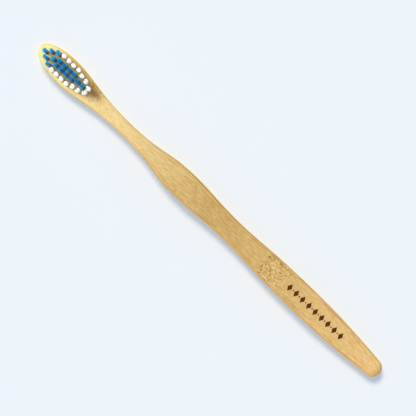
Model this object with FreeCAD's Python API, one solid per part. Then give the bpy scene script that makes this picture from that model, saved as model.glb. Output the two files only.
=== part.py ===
"""Manual toothbrush: a one-piece bamboo handle whose oval head holds thirty stapled tufts.

The handle is sawn from a flat bamboo strip, so its back is one plane and its sides are curves
in plan. Its front dips to a thinner head. The head is drilled with blind holes. Each hole holds
one tuft of nylon bristles, folded in half round a flat metal anchor wire that is rammed across
the hole and bites into the wood on both sides.

Frame, in millimetres: the brush lies on its back on Z = 0, bristles up. X runs along the brush
from the head's end to the handle's end, with 0 at half its length. Y is across, and +Y is the
right-hand side for someone who holds the handle and looks towards the head.
"""

import FreeCAD, Part

import math
import os

# Tuft holes, and the wood that is left round them
HOLE_DIAMETER = 1.70
HOLE_DEPTH = 3.00            # of the straight bore, without the drill's point
DRILL_POINT_ANGLE = 118.0    # degrees, both sides together
MIDDLE_WEB = 0.46            # wood between the two middle holes of a full row
SIDE_WEB = 0.82              # wood between a middle hole and its outer neighbour
ROW_WEB = 0.93               # wood between one row of holes and the next
FRONT_STEP = 2.00            # from the single front hole to the second row
SIDE_RIM = 1.40              # wood outside the outer holes at the head's widest
END_RIM = 2.90               # wood in front of the single front hole
FACE_RUNOUT = 1.60           # flat face that is left behind the last row of holes

# Tufts
TUFT_HEIGHT = 10.0           # from the head's face to the trimmed tips
TUFT_CLEARANCE = 0.04        # all round, in the hole
TIP_GAP = 0.24               # between the tips of the two closest tufts
TIP_ROUND = 0.18             # rounded edge of a trimmed tuft
FOLD_ROUND = 0.55            # height of the rounded fold at the foot of a tuft

# Anchor wires
ANCHOR_THICKNESS = 0.30
ANCHOR_HEIGHT = 1.30
ANCHOR_BITE = 0.11           # how far each end cuts into the wall of the hole
ANCHOR_FIT = 0.02            # clearance all round an anchor
ANCHOR_CHAMFER = 0.12        # on the lower corners, so that the wire drives in
ANCHOR_TURN = 20.0           # degrees, away from straight across the handle
FOLD_THICKNESS = 0.60        # bristles under the anchor

# Handle in plan: runs from one narrow or wide place to the next, and the widths there
NECK_RUN = 21.2              # last row of tufts to the narrowest place of the neck
THUMB_RUN = 33.0             # neck to the wide thumb rest
WAIST_RUN = 26.0             # thumb rest to the waist
BELLY_RUN = 38.0             # waist to the widest place of the palm grip
TAIL_RUN = 45.0              # palm grip to the handle's end
NECK_WIDTH = 5.56
THUMB_WIDTH = 11.70
WAIST_WIDTH = 9.40
BELLY_WIDTH = 11.80
TAIL_RADIUS = 3.75           # round end, in plan
TAIL_TAPER = 5.5             # degrees, of each side where it meets the round end

# Handle from the side
HEAD_THICKNESS = 5.00
THUMB_THICKNESS = 6.30
WAIST_THICKNESS = 5.80
BELLY_THICKNESS = 6.20
TAIL_THICKNESS = 5.20
HEAD_EDGE_ROUND = 0.70       # front edges at the head's end
TAIL_EDGE_ROUND = 1.30       # front edges at the handle's end; the rounding grows in between
BACK_EDGE_ROUND = 1.60

# How far cutting tools run past what they cut
OVERRUN = 2.0

# Lengths of a curve's two handles, as shares of the stretch that it spans: they set how soon
# the side leaves one station and how early it settles on the next.
HEAD_END_LEAD_SHARES = (0.48, 0.72)
PLAN_LEAD_SHARES = (
    (0.29, 0.55),  # head to neck
    (0.54, 0.44),  # neck to thumb rest
    (0.37, 0.45),  # thumb rest to waist
    (0.37, 0.60),  # waist to palm grip
)
TAIL_LEAD_SHARES = (0.32, 0.50)
SIDE_VIEW_LEAD_SHARES = (0.45, 0.45)

# Rows of tufts from the head's end to the neck: how many blue tufts stand in the middle, the
# colour of the two outer tufts, and how far out these stand, as a share of the widest rows.
ROW_SHARES = (
    (1, "none", 0.00),
    (0, "blue", 0.48),
    (1, "blue", 0.85),
    (2, "white", 1.00),
    (2, "white", 1.00),
    (2, "white", 1.00),
    (2, "white", 1.00),
    (1, "white", 0.78),
    (1, "white", 0.65),
    (0, "white", 0.29),
)

# Places that follow from the sizes above, measured from the head's end
HOLE_RADIUS = HOLE_DIAMETER / 2
ROW_PITCH = HOLE_DIAMETER + ROW_WEB
INNER_COLUMN = (HOLE_DIAMETER + MIDDLE_WEB) / 2
OUTER_COLUMN = INNER_COLUMN + HOLE_DIAMETER + SIDE_WEB
HEAD_WIDTH = 2 * (OUTER_COLUMN + HOLE_RADIUS + SIDE_RIM)
FRONT_ROW_AT = END_RIM + HOLE_RADIUS
ROWS_AT = [FRONT_ROW_AT] + [FRONT_ROW_AT + FRONT_STEP + number * ROW_PITCH
                            for number in range(len(ROW_SHARES) - 1)]
LAST_ROW_AT = ROWS_AT[-1]
WIDEST_ROWS_AT = [at for at, (_, _, side_share) in zip(ROWS_AT, ROW_SHARES) if side_share == 1]
HEAD_WIDEST_AT = (WIDEST_ROWS_AT[0] + WIDEST_ROWS_AT[-1]) / 2
NECK_AT = LAST_ROW_AT + NECK_RUN
THUMB_AT = NECK_AT + THUMB_RUN
WAIST_AT = THUMB_AT + WAIST_RUN
BELLY_AT = WAIST_AT + BELLY_RUN
OVERALL_LENGTH = BELLY_AT + TAIL_RUN
FACE_END_AT = LAST_ROW_AT + HOLE_RADIUS + FACE_RUNOUT
MOST_THICK = max(HEAD_THICKNESS, THUMB_THICKNESS, WAIST_THICKNESS, BELLY_THICKNESS)


def along(distance):
    """X of a place that lies that far from the head's end."""
    return distance - OVERALL_LENGTH / 2


def vector(x, y, z):
    return FreeCAD.Vector(x, y, z)


def level_stretches(stations, lead_shares, point):
    """Cubic stretches from station to station that run level at each.

    A station is how far along it lies and how far out or up. point places such a pair.
    """
    stretches = []
    for (start_at, start), (end_at, end), (first_lead, last_lead) in zip(stations, stations[1:],
                                                                         lead_shares):
        span = end_at - start_at
        stretches.append((point(start_at, start), point(start_at + first_lead * span, start),
                          point(end_at - last_lead * span, end), point(end_at, end)))
    return stretches


def smooth_edge(stretches):
    """One edge through a chain of cubic stretches that share their tangents.

    A stretch is its start, its two handles and its end. The knots are spaced by the handles'
    lengths, so that the edge has no break where one stretch passes into the next.
    """
    poles, knots, spacing = [stretches[0][0]], [0], 1
    for number, (start, first_handle, last_handle, _) in enumerate(stretches):
        if number > 0:
            _, _, handle_before, joint = stretches[number - 1]
            spacing *= start.distanceToPoint(first_handle) / joint.distanceToPoint(handle_before)
        poles += [first_handle, last_handle]
        knots.append(knots[-1] + spacing)
    poles.append(stretches[-1][3])
    multiplicities = [4] + [2] * (len(knots) - 2) + [4]
    curve = Part.BSplineCurve()
    curve.buildFromPolesMultsKnots(poles, multiplicities, knots, False, 3)
    return curve.toShape()


def side_of_plan(side):
    """Edges of one side of the handle in plan, from the head's end to its round tail."""
    taper = math.radians(TAIL_TAPER)
    tail_centre = OVERALL_LENGTH - TAIL_RADIUS
    tail_at = tail_centre + TAIL_RADIUS * math.sin(taper)
    tail = TAIL_RADIUS * math.cos(taper)
    head, belly = HEAD_WIDTH / 2, BELLY_WIDTH / 2

    def point(distance, half_width):
        return vector(along(distance), side * half_width, 0)

    edge_lead, head_lead = HEAD_END_LEAD_SHARES
    head_end = (point(0, 0), point(0, edge_lead * head),
                point((1 - head_lead) * HEAD_WIDEST_AT, head), point(HEAD_WIDEST_AT, head))
    waves = level_stretches(((HEAD_WIDEST_AT, head), (NECK_AT, NECK_WIDTH / 2),
                             (THUMB_AT, THUMB_WIDTH / 2), (WAIST_AT, WAIST_WIDTH / 2),
                             (BELLY_AT, belly)), PLAN_LEAD_SHARES, point)
    belly_lead, tail_lead = TAIL_LEAD_SHARES
    span = tail_at - BELLY_AT
    narrowing = (point(BELLY_AT, belly), point(BELLY_AT + belly_lead * span, belly),
                 point(tail_at - tail_lead * span, tail + tail_lead * span * math.tan(taper)),
                 point(tail_at, tail))
    half_turn = (math.pi / 2 - taper) / 2
    on_tail = point(tail_centre + TAIL_RADIUS * math.cos(half_turn),
                    TAIL_RADIUS * math.sin(half_turn))
    tail_round = Part.Arc(point(tail_at, tail), on_tail, point(OVERALL_LENGTH, 0))
    return [smooth_edge([head_end, *waves, narrowing]), tail_round.toShape()]


def plan_outline():
    """Closed outline of the handle, seen from the front."""
    right, left = side_of_plan(1), side_of_plan(-1)
    return Part.Wire(right + left[::-1])


def wood_above_front():
    """All that is milled away above the handle's front, as seen from the side."""
    start, end = along(0) - OVERRUN, along(OVERALL_LENGTH) + OVERRUN
    ceiling = MOST_THICK + OVERRUN
    outside = max(HEAD_WIDTH, THUMB_WIDTH, BELLY_WIDTH) / 2 + OVERRUN

    def point(distance, height):
        return vector(along(distance), -outside, height)

    stations = ((FACE_END_AT, HEAD_THICKNESS), (THUMB_AT, THUMB_THICKNESS),
                (WAIST_AT, WAIST_THICKNESS), (BELLY_AT, BELLY_THICKNESS),
                (OVERALL_LENGTH, TAIL_THICKNESS))
    lead_shares = [SIDE_VIEW_LEAD_SHARES] * (len(stations) - 1)
    front = smooth_edge(level_stretches(stations, lead_shares, point))
    corners = [point(OVERALL_LENGTH, TAIL_THICKNESS), vector(end, -outside, TAIL_THICKNESS),
               vector(end, -outside, ceiling), vector(start, -outside, ceiling),
               vector(start, -outside, HEAD_THICKNESS), point(FACE_END_AT, HEAD_THICKNESS)]
    rest = [Part.LineSegment(a, b).toShape() for a, b in zip(corners, corners[1:])]
    return Part.Face(Part.Wire([front] + rest)).extrude(vector(0, 2 * outside, 0))


def front_edge_round(x):
    """Radius of the front edge at X."""
    share = (x - along(0)) / OVERALL_LENGTH
    return HEAD_EDGE_ROUND + share * (TAIL_EDGE_ROUND - HEAD_EDGE_ROUND)


def rounded_blank():
    """The sanded handle before it is drilled."""
    blank = Part.Face(plan_outline()).extrude(vector(0, 0, MOST_THICK + OVERRUN))
    blank = blank.cut(wood_above_front())
    upright = [face for face in blank.Faces if abs(face.normalAt(0, 0).z) < 0.5]
    rounds = []
    for number, edge in enumerate(blank.Edges, start=1):
        touching = [face for face in upright if any(edge.isSame(e) for e in face.Edges)]
        if len(touching) != 1:
            continue
        first, last = edge.firstVertex().Point, edge.lastVertex().Point
        if max(first.z, last.z) < HEAD_THICKNESS / 2:
            rounds.append((number, BACK_EDGE_ROUND, BACK_EDGE_ROUND))
        else:
            rounds.append((number, front_edge_round(first.x), front_edge_round(last.x)))
    document = FreeCAD.newDocument("handle")
    sawn = document.addObject("Part::Feature", "sawn")
    sawn.Shape = blank
    sanded = document.addObject("Part::Fillet", "sanded")
    sanded.Base = sawn
    sanded.Edges = rounds
    document.recompute()
    shape = sanded.Shape.copy()
    FreeCAD.closeDocument(document.Name)
    return shape.Solids[0]


def tuft_places():
    """Every tuft: its colour, row number, place in words, X and Y."""
    places = []
    for row, (at, (middle_tufts, side_colour, side_share)) in enumerate(zip(ROWS_AT, ROW_SHARES), 1):
        tufts = []
        if middle_tufts == 1:
            tufts.append(("blue", "middle", 0))
        elif middle_tufts == 2:
            tufts += [("blue", "mid_left", -INNER_COLUMN), ("blue", "mid_right", INNER_COLUMN)]
        if side_colour != "none":
            side = side_share * OUTER_COLUMN
            tufts += [(side_colour, "left", -side), (side_colour, "right", side)]
        places += [(colour, row, words, along(at), y) for colour, words, y in tufts]
    return places


def closest_pair(places):
    """Distance between the centres of the two closest tufts."""
    spots = [(x, y) for _, _, _, x, y in places]
    return min(math.dist(a, b) for i, a in enumerate(spots) for b in spots[i + 1:])


def turned(shape):
    """A shape made straight across the handle, turned as all anchors are."""
    return shape.rotated(vector(0, 0, 0), vector(0, 0, 1), ANCHOR_TURN)


def anchor_foot():
    """Z of an anchor's lower edge. The bristles fold under it."""
    return HEAD_THICKNESS - HOLE_DEPTH + FOLD_THICKNESS


def room_for_anchor(length, height):
    """Upright slot for an anchor, with its clearance all round, up from under the anchor."""
    thickness = ANCHOR_THICKNESS + 2 * ANCHOR_FIT
    foot = vector(-thickness / 2, -length / 2, anchor_foot() - ANCHOR_FIT)
    return turned(Part.makeBox(thickness, length, height, foot))


def anchor_wire():
    """One flat anchor wire, longer than the hole is wide, with its lower corners cut off."""
    half = HOLE_RADIUS + ANCHOR_BITE
    foot = anchor_foot()
    corners = [(-half + ANCHOR_CHAMFER, foot), (half - ANCHOR_CHAMFER, foot),
               (half, foot + ANCHOR_CHAMFER), (half, foot + ANCHOR_HEIGHT),
               (-half, foot + ANCHOR_HEIGHT), (-half, foot + ANCHOR_CHAMFER),
               (-half + ANCHOR_CHAMFER, foot)]
    side = Part.makePolygon([vector(-ANCHOR_THICKNESS / 2, y, z) for y, z in corners])
    return turned(Part.Face(side).extrude(vector(ANCHOR_THICKNESS, 0, 0)))


def tuft_hole():
    """What the drill takes out for one tuft, and the groove that its anchor cuts on the way in."""
    floor = HEAD_THICKNESS - HOLE_DEPTH
    bore = Part.makeCylinder(HOLE_RADIUS, HOLE_DEPTH + OVERRUN, vector(0, 0, floor))
    point_depth = HOLE_RADIUS / math.tan(math.radians(DRILL_POINT_ANGLE / 2))
    point = Part.makeCone(0, HOLE_RADIUS, point_depth, vector(0, 0, floor - point_depth))
    groove = room_for_anchor(2 * (HOLE_RADIUS + ANCHOR_BITE + ANCHOR_FIT), HOLE_DEPTH + OVERRUN)
    return bore.fuse([point, groove])


def tuft(tip_radius):
    """One bundle of bristles: rounded fold, shank in the hole, slight spread to flat-cut tips."""
    root = HOLE_RADIUS - TUFT_CLEARANCE
    floor = HEAD_THICKNESS - HOLE_DEPTH
    face = HEAD_THICKNESS
    top = HEAD_THICKNESS + TUFT_HEIGHT
    shoulder = floor + FOLD_ROUND
    diagonal = math.sqrt(0.5)
    fold = Part.Arc(vector(0, 0, floor),
                    vector(root * diagonal, 0, shoulder - FOLD_ROUND * diagonal),
                    vector(root, 0, shoulder))
    rim = Part.Arc(vector(tip_radius, 0, top - TIP_ROUND),
                   vector(tip_radius - TIP_ROUND * (1 - diagonal), 0,
                          top - TIP_ROUND * (1 - diagonal)),
                   vector(tip_radius - TIP_ROUND, 0, top))
    edges = [fold.toShape(),
             Part.LineSegment(vector(root, 0, shoulder), vector(root, 0, face)).toShape(),
             Part.LineSegment(vector(root, 0, face),
                              vector(tip_radius, 0, top - TIP_ROUND)).toShape(),
             rim.toShape(),
             Part.LineSegment(vector(tip_radius - TIP_ROUND, 0, top), vector(0, 0, top)).toShape(),
             Part.LineSegment(vector(0, 0, top), vector(0, 0, floor)).toShape()]
    bundle = Part.Face(Part.Wire(edges)).revolve(vector(0, 0, 0), vector(0, 0, 1), 360)
    slot = room_for_anchor(2 * HOLE_DIAMETER, ANCHOR_HEIGHT + 2 * ANCHOR_FIT)
    return bundle.cut(slot).Solids[0]


def save(shape, name):
    """Writes one node and prints what it holds."""
    solids = shape.Solids
    valid = all(s.isValid() for s in solids)
    print(f"{name}: {len(solids)} solid(s), {shape.Volume:.3f} mm3, valid {valid}")
    shape.exportStep(os.path.join("parts", name + ".step"))


def main():
    os.makedirs("parts", exist_ok=True)
    places = tuft_places()
    tip_radius = (closest_pair(places) - TIP_GAP) / 2
    hole, bundle, wire = tuft_hole(), tuft(tip_radius), anchor_wire()
    print(f"length {OVERALL_LENGTH:.2f}, head width {HEAD_WIDTH:.2f}, tufts {len(places)}, "
          f"tip diameter {2 * tip_radius:.2f}")

    handle = rounded_blank()
    holes = [hole.translated(vector(x, y, 0)) for _, _, _, x, y in places]
    save(handle.cut(holes).Solids[0], "bamboo_handle")
    for colour, row, words, x, y in places:
        save(bundle.translated(vector(x, y, 0)), f"{colour}_tuft_{row:02d}_{words}")
    for row in sorted({row for _, row, _, _, _ in places}):
        wires = [wire.translated(vector(x, y, 0)) for _, r, _, x, y in places if r == row]
        save(Part.makeCompound(wires), f"anchor_wires_row_{row:02d}")


main()
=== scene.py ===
# %% [markdown]
# # A bamboo toothbrush, seen from straight above
#
# The brush lies on its flat back on a pale table. Its handle and head are one strip of bamboo,
# thirty tufts of nylon stand in the head, and a small brass wire holds each tuft in its hole.
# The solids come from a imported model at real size, which is loaded first and never moved. This
# file gives them their finishes, and puts a bundle of real filaments where the model has a plain
# tuft. X runs from the head's end to the handle's end, Y across, Z up, all in metres.

# %% Load the solids of the brush
import math
import random

import bmesh
import bpy
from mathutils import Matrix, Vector
from mathutils.bvhtree import BVHTree


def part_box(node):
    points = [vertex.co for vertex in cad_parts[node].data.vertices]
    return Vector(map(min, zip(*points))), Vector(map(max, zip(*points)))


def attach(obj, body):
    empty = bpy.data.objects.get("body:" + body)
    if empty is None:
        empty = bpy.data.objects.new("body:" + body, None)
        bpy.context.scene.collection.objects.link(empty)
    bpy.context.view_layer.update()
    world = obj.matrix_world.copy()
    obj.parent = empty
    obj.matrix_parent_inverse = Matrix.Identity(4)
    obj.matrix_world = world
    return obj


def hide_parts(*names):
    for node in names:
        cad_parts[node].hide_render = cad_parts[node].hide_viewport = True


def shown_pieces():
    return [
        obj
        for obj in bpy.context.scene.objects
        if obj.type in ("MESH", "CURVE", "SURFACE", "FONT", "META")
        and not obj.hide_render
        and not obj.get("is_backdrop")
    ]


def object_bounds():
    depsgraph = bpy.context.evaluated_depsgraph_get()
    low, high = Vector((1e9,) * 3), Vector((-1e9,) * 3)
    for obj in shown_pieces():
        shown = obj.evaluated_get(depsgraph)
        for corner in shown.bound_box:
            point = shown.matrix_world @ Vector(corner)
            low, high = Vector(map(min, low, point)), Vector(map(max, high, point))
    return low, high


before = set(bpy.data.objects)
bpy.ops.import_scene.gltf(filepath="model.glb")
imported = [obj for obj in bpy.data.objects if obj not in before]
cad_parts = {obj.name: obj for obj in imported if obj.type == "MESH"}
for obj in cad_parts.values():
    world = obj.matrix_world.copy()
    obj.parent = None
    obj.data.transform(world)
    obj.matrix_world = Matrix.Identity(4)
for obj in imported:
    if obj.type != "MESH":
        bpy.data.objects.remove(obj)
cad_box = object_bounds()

MM = 0.001
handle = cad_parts["bamboo_handle"]
tuft_names = sorted(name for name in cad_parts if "_tuft_" in name)
anchor_names = sorted(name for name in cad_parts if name.startswith("anchor_wires"))
brush_length = (cad_box[1].x - cad_box[0].x) / MM
print(f"a brush of {brush_length:.1f} mm, {len(tuft_names)} tufts, "
      f"{len(anchor_names)} rows of anchors")

# %% [markdown]
# ## Colours
#
# A colour is easiest to choose and to write down as a hex value, the way a paint chart or a
# picture gives it. Light adds up in linear values, and that is what every shader socket takes.
# One function turns the first into the second, so every colour below is written as hex.

# %% Turn a written colour into light


def linear(hex_colour):
    """The linear red, green, blue and alpha of an sRGB colour such as #F3D494."""
    shares = [int(hex_colour[start:start + 2], 16) / 255 for start in (1, 3, 5)]
    light = [share / 12.92 if share <= 0.04045 else ((share + 0.055) / 1.055) ** 2.4
             for share in shares]
    return (*light, 1.0)


print("straw yellow as light:", [round(value, 3) for value in linear("#F3D494")[:3]])

# %% [markdown]
# ## Materials are made of nodes
#
# Every finish here is a small network: coordinates go in, patterns are mixed, and a Principled
# shader at the end turns them into a surface. One function adds a node, sets its options, and
# fills its sockets with plain values or with what another node gives. A socket is named by its
# number where several share one name, as on a Math node.

# %% Add one node, with its settings and links


def add_node(tree, kind, sockets=None, **settings):
    """Adds one node. sockets gives a value, a node or an output to each socket that is set."""
    node = tree.nodes.new(kind)
    for name, value in settings.items():
        setattr(node, name, value)
    for key, value in (sockets or {}).items():
        if isinstance(key, int):
            socket = node.inputs[key]
        else:
            socket = next(s for s in node.inputs if s.enabled and s.name == key)
        if isinstance(value, bpy.types.Node):
            value = next(s for s in value.outputs if s.enabled)
        if isinstance(value, bpy.types.NodeSocket):
            tree.links.new(value, socket)
        else:
            socket.default_value = value
    return node


def new_material(name):
    """An empty material and its node tree."""
    material = bpy.data.materials.new(name)
    material.use_nodes = True
    material.node_tree.nodes.clear()
    return material, material.node_tree


def finish_with(tree, sockets):
    """Ends a material with a Principled shader that has these sockets set."""
    surface = add_node(tree, "ShaderNodeBsdfPrincipled", sockets)
    add_node(tree, "ShaderNodeOutputMaterial", {"Surface": surface})
    return surface


def dress(piece, material):
    """Puts one material on all of a piece."""
    piece.data.materials.clear()
    piece.data.materials.append(material)


print("add_node, new_material, finish_with and dress are at hand")


# %% [markdown]
# ## Bamboo: where a point lies in the strip
#
# Bamboo is a grass. Its stem is a pale ground tissue with long bundles of dark fibres that all
# run one way, so the pattern is a solid one: a cut at a slant shows short dashes, a cut along
# the fibres shows long streaks, and the rounded edges show lines that follow the outline. An
# image laid over the front can't do that. The patterns below are read in the solid's own
# coordinates in millimetres instead, squeezed across and stretched along the fibres.

# %% Coordinates in the bamboo, in millimetres
bamboo, tree = new_material("bamboo_sanded_and_waxed")
MM_PER_METRE = 1000.0

coordinates = add_node(tree, "ShaderNodeTexCoord")
in_mm = add_node(tree, "ShaderNodeVectorMath",
                 {0: coordinates.outputs["Object"], "Scale": MM_PER_METRE}, operation="SCALE")
xyz = add_node(tree, "ShaderNodeSeparateXYZ", {0: in_mm})
x_mm, y_mm, z_mm = xyz.outputs[0], xyz.outputs[1], xyz.outputs[2]
print(f"coordinates in {bamboo.name}, in mm")

# %% [markdown]
# ## Bamboo: colour over colour
#
# The wood is coloured as a painter glazes a panel: one colour is laid over another, and only
# where some limits are met. A limit fades from nothing at one value to full at another, be it of
# a place, a distance or a noise, and several limits let through the product of their shares.
# Two helpers say just that, so that the wood can be read as a recipe. With a straight fade, a
# limit on a noise picks its peaks or its hollows, and that makes streaks.

# %% Limits, and layers of colour


def within(*limits, fade="SMOOTHSTEP"):
    """The share that all the limits let through.

    A limit is a share, or (value, none at, full at), which may name the most it lets through.
    """
    through = None
    for limit in limits:
        if isinstance(limit, tuple):
            value, none_at, full_at, *most = limit
            limit = add_node(tree, "ShaderNodeMapRange", {
                "Value": value, "From Min": none_at, "From Max": full_at,
                "To Max": most[0] if most else 1.0}, interpolation_type=fade)
        through = limit if through is None else add_node(
            tree, "ShaderNodeMath", {0: through, 1: limit}, operation="MULTIPLY")
    return through


def lay(under, colour, *limits, fade="SMOOTHSTEP"):
    """Lays a colour over what is under it, as far as all the limits let it through."""
    return add_node(tree, "ShaderNodeMix", {
        "Factor": within(*limits, fade=fade), "A": under, "B": colour}, data_type="RGBA")


print("within and lay are at hand")


# %% [markdown]
# ## Bamboo: the run of the fibres
#
# Fibres never run dead straight. They wander a little about a line, the more slowly the further
# one looks along them. Between the neck and the thumb rest they also drift a few millimetres to
# one side, because the saw didn't follow them. Both are done by shifting the coordinates before
# any pattern is read, so that every streak bends alike.

# %% Let the fibres wander and drift
WANDER_RUN = 30.0                          # mm along the fibres for one bend
WANDER_CELL = 7.0                          # mm across, within which fibres wander together
WANDER = 0.6                               # mm, from side to side
DRIFT_FROM, DRIFT_TO = -41.0, -13.0        # mm along X
DRIFT = 2.8                                # mm towards +Y
wander_place = add_node(tree, "ShaderNodeMapping", {
    "Vector": in_mm, "Scale": (1 / WANDER_RUN, 1 / WANDER_CELL, 1 / WANDER_CELL)})
wander_noise = add_node(tree, "ShaderNodeTexNoise", {
    "Vector": wander_place, "Scale": 1.0, "Detail": 1.0})
wander_centred = add_node(tree, "ShaderNodeVectorMath", {
    0: wander_noise.outputs["Color"], 1: (0.5, 0.5, 0.5)}, operation="SUBTRACT")
wander_move = add_node(tree, "ShaderNodeVectorMath", {
    0: wander_centred, 1: (0.0, WANDER, WANDER)}, operation="MULTIPLY")
wandered = add_node(tree, "ShaderNodeVectorMath", {0: in_mm, 1: wander_move}, operation="ADD")
drift_move = add_node(tree, "ShaderNodeCombineXYZ", {
    1: within((x_mm, DRIFT_FROM, DRIFT_TO, DRIFT))})
grain = add_node(tree, "ShaderNodeVectorMath", {0: wandered, 1: drift_move}, operation="SUBTRACT")
print(f"fibres wander {WANDER} mm in {WANDER_RUN} mm and drift {DRIFT} mm")

# %% [markdown]
# ## Bamboo: tone along the handle
#
# The strip isn't one colour. It is butter yellow along the head, pale straw at the neck, deepens to
# honey at the waist, and warms to biscuit towards the handle's end: partly the strip's own tone,
# partly painted light towards the head and painted shade towards the waist. The lemon yellow at the
# head's end is painted light, and so is a warmer amber on the side of the head where the tufts'
# shadow falls. Steps along X lay
# one written colour over the other. Between the tufts the wood is painted darker and a little
# green:
# painted shade between the tufts. The round end is painted browner: painted shade at the rounded
# end.

# %% Lemon, butter, straw, honey and biscuit along the handle
# The lemon at the head's end is painted light; the butter along the head is partly painted light.
LEMON_LIGHT, BUTTER, STRAW = linear("#FAF4A0"), linear("#FFE498"), linear("#F0D290")
HONEY, BISCUIT = linear("#C5A15C"), linear("#EDC481")
LEMON_LIGHT_UNTIL, LEMON_LIGHT_FROM = -93.0, -82.0     # mm along X
BUTTER_UNTIL, BUTTER_FROM = -72.0, -58.0
DEEPENS_FROM, DEEPENS_TO = -52.0, -1.0
WARMS_FROM, WARMS_TO = 8.0, 98.0
# Painted shade: the round end is painted browner.
END_SHADE = linear("#AC7C38")
END_SHADE_FROM, END_SHADE_FULL, END_SHADE_MOST = 91.0, 95.0, 0.60
AMBER_LIGHT = linear("#FFCE66")                  # painted light in a warmer tone, on the side of the head where the tufts' shadow falls
AMBER_STARTS, AMBER_FULL, AMBER_MOST = 2.6, 4.6, 0.85      # mm along Y, and a share
AMBER_FADES, AMBER_UNTIL = -68.0, -62.0    # mm along X
FIELD_SHADE = linear("#D3CF8F")                  # painted shade: the wood between the tufts, darker and a little green
FIELD_X, FIELD_LONG, FIELD_WIDE = -77.9, 10.8, 3.7     # mm, its middle and half sizes
FIELD_DEEP = 1000.0                        # so deep that height makes no difference
FIELD_ENDS, FIELD_FULL = 1.08, 0.90        # shares of the half sizes

# The honey at the waist is partly the strip's own tone and partly painted shade.
tone = lay(STRAW, HONEY, (x_mm, DEEPENS_FROM, DEEPENS_TO), fade="LINEAR")
tone = lay(tone, BISCUIT, (x_mm, WARMS_FROM, WARMS_TO), fade="LINEAR")
# painted shade at the rounded end
tone = lay(tone, END_SHADE, (x_mm, END_SHADE_FROM, END_SHADE_FULL, END_SHADE_MOST))
tone = lay(tone, BUTTER, (x_mm, BUTTER_FROM, BUTTER_UNTIL))
# painted light at the head's end
tone = lay(tone, LEMON_LIGHT, (x_mm, LEMON_LIGHT_FROM, LEMON_LIGHT_UNTIL))
on_head = within((x_mm, AMBER_UNTIL, AMBER_FADES), (x_mm, LEMON_LIGHT_UNTIL, LEMON_LIGHT_FROM))
# painted light, in a warmer tone, on the head's side where the tufts' shadow falls
tone = lay(tone, AMBER_LIGHT, (y_mm, AMBER_STARTS, AMBER_FULL, AMBER_MOST), on_head)
field_place = add_node(tree, "ShaderNodeMapping", {
    "Vector": in_mm, "Location": (FIELD_X, 0.0, 0.0),
    "Scale": (FIELD_LONG, FIELD_WIDE, FIELD_DEEP)}, vector_type="TEXTURE")
field_away = add_node(tree, "ShaderNodeVectorMath", {0: field_place}, operation="LENGTH")
# painted shade between the tufts
tone = lay(tone, FIELD_SHADE, (field_away, FIELD_ENDS, FIELD_FULL))
print("lemon, butter, straw, honey, biscuit, from the head's end to the handle's")

# %% [markdown]
# ## Bamboo: fibres, bands and bundles
#
# Three sizes of streak make the wood. Fine fibres are 0.1 to 0.3 mm wide on a real strip, which
# is under a pixel here, so they are drawn 0.38 mm wide to show at all. Bands over a millimetre
# wide and centimetres long are growth that took more or less colour. Vascular bundles show as
# separate olive dashes of about 0.5 by 1.5 mm, one to each cell of a cell pattern, some strong
# and some faint, and they come in patches.

# %% Three sizes of streak
FIBRE_LONG, FIBRE_WIDE = 2.8, 0.38         # mm
BAND_LONG, BAND_WIDE = 24.0, 1.3
BUNDLE_LONG, BUNDLE_WIDE = 2.6, 0.85       # the cell that holds one dash
BUNDLE_EDGE, BUNDLE_CORE = 0.42, 0.16      # how far out the dash reaches in its cell, and is full
PATCH_LONG, PATCH_WIDE = 12.0, 4.0


def growth(long, wide, deep=None, kind="ShaderNodeTexNoise", **sockets):
    """A pattern of marks so many millimetres along the grain, across it and into the strip."""
    place = add_node(tree, "ShaderNodeMapping", {
        "Vector": grain, "Scale": (1 / long, 1 / wide, 1 / (deep or wide))})
    return add_node(tree, kind, {"Vector": place, "Scale": 1.0, **sockets})


fibres = growth(FIBRE_LONG, FIBRE_WIDE, Detail=4.0, Roughness=0.65)
bands = growth(BAND_LONG, BAND_WIDE)
patches = growth(PATCH_LONG, PATCH_WIDE)
bundle_cells = growth(BUNDLE_LONG, BUNDLE_WIDE, kind="ShaderNodeTexVoronoi")
bundle_strength = add_node(tree, "ShaderNodeSeparateXYZ", {0: bundle_cells.outputs["Color"]})
bundles = within((bundle_cells.outputs["Distance"], BUNDLE_EDGE, BUNDLE_CORE), bundle_strength)
print(f"fibres {FIBRE_WIDE} mm, bands {BAND_WIDE} mm, bundles {BUNDLE_WIDE} mm apart")

# %% Mix the streaks into the tone
FIBRE_SHADE, FIBRE_LIGHT = linear("#B08038"), linear("#FFECB4")
BUNDLE_OLIVE, BAND_AMBER = linear("#A27F33"), linear("#D39C4A")
FAINT_FROM, STRONG_FROM = -140.0, -28.0    # mm along X, over which the streaks gain strength
BAND_LIMITS = (0.46, 0.70, 0.07)           # the noise where none and all shows, and the most
FIBRE_SHADE_LIMITS, FIBRE_LIGHT_LIMITS = (0.50, 0.74, 0.64), (0.50, 0.28, 0.42)
PATCH_LIMITS = (0.40, 0.62, 0.42)

streaky = within((x_mm, FAINT_FROM, STRONG_FROM), fade="LINEAR")
streaked = lay(tone, BAND_AMBER, streaky, (bands, *BAND_LIMITS), fade="LINEAR")
streaked = lay(streaked, FIBRE_SHADE, streaky, (fibres, *FIBRE_SHADE_LIMITS), fade="LINEAR")
streaked = lay(streaked, FIBRE_LIGHT, streaky, (fibres, *FIBRE_LIGHT_LIMITS), fade="LINEAR")
streaked = lay(streaked, BUNDLE_OLIVE, bundles, (patches, *PATCH_LIMITS))
print("four streak colours over the tone")

# %% [markdown]
# ## Bamboo: lines beside the outline
#
# The edges were sanded through the strip's growth layers, and on the front these show as thin
# golden lines that run beside the outline, with a golden rim at the edge itself. They need a
# coordinate of their own, which is how far in from the outline a point lies. A ray from the
# side feels the handle's half width every few millimetres, and a Float Curve turns X into it.

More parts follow.
